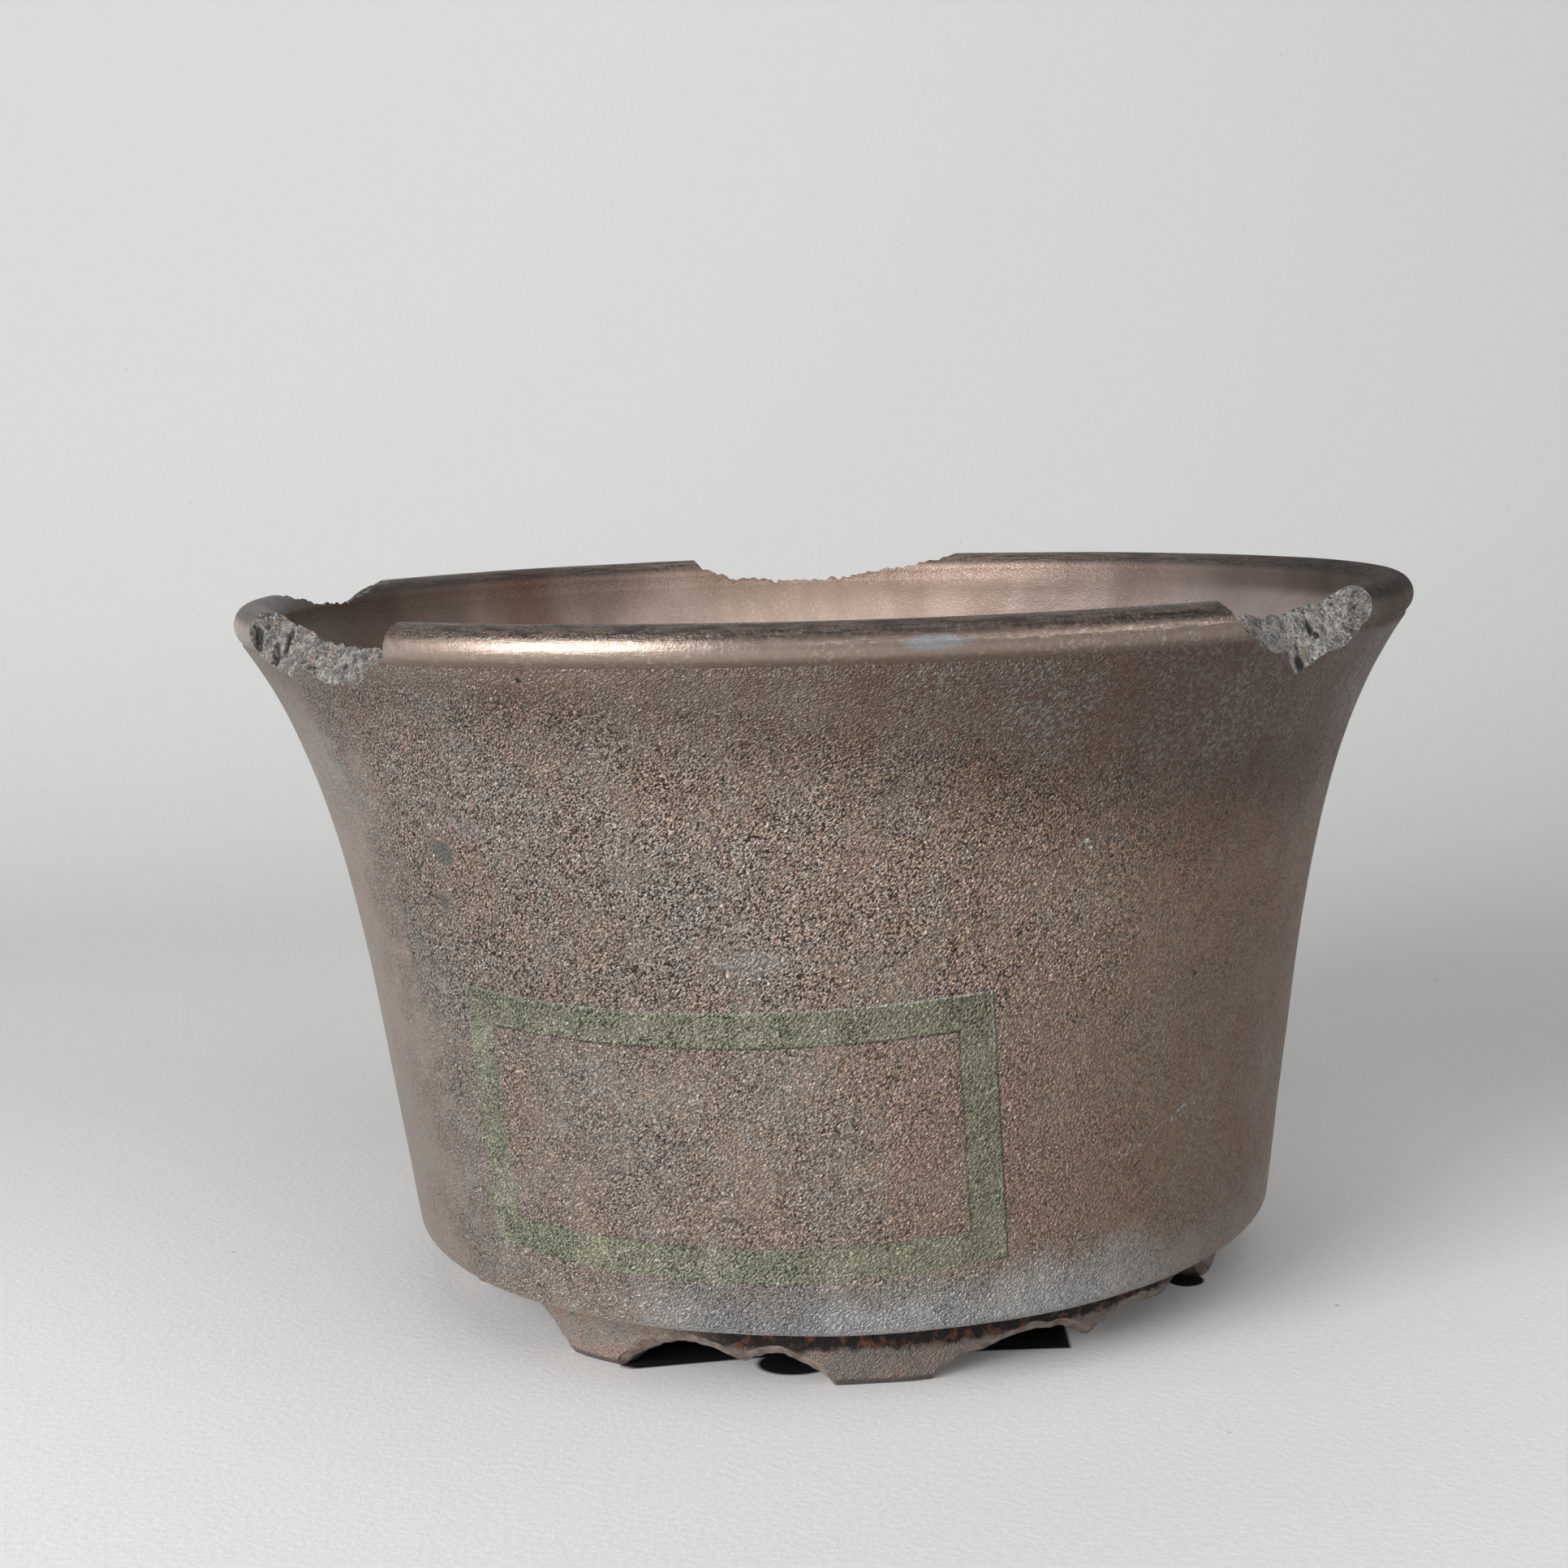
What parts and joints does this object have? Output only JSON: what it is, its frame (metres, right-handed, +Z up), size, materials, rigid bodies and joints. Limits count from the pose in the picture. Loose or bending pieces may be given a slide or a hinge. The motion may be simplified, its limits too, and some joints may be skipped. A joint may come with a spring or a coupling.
{
  "type": "bonsai pot",
  "caption": "Small round flared bonsai pot with a rolled lip, chipped rim, torn foot ring, and a mesh screen clipped over its drain hole.",
  "frame": {"origin": "on the surface the pot stands on, on the pot's turning axis, under the middle of its outline", "axes": "+Z up; the front of the pot, with the painted frame, faces -Y; +X is to the right of someone facing the front"},
  "size_m": [0.15, 0.1485, 0.0905],
  "materials": {
    "glazed_stoneware": "brown-grey metallic glaze with a fine crinkled grain, satin; raw grey stoneware where the rim is broken",
    "foot_stoneware": "thin brown and blue-grey glaze over stoneware, dark iron-brown at the junction, matte",
    "screen_plastic": "black polyethylene mesh, matte",
    "clip_aluminium": "soft aluminium bonsai wire, dull"
  },
  "bodies": {
    "root": {"pot_body": "glazed_stoneware", "foot_ring": "foot_stoneware", "drain_screen": "screen_plastic", "screen_clip": "clip_aluminium"}
  },
  "joints": []
}
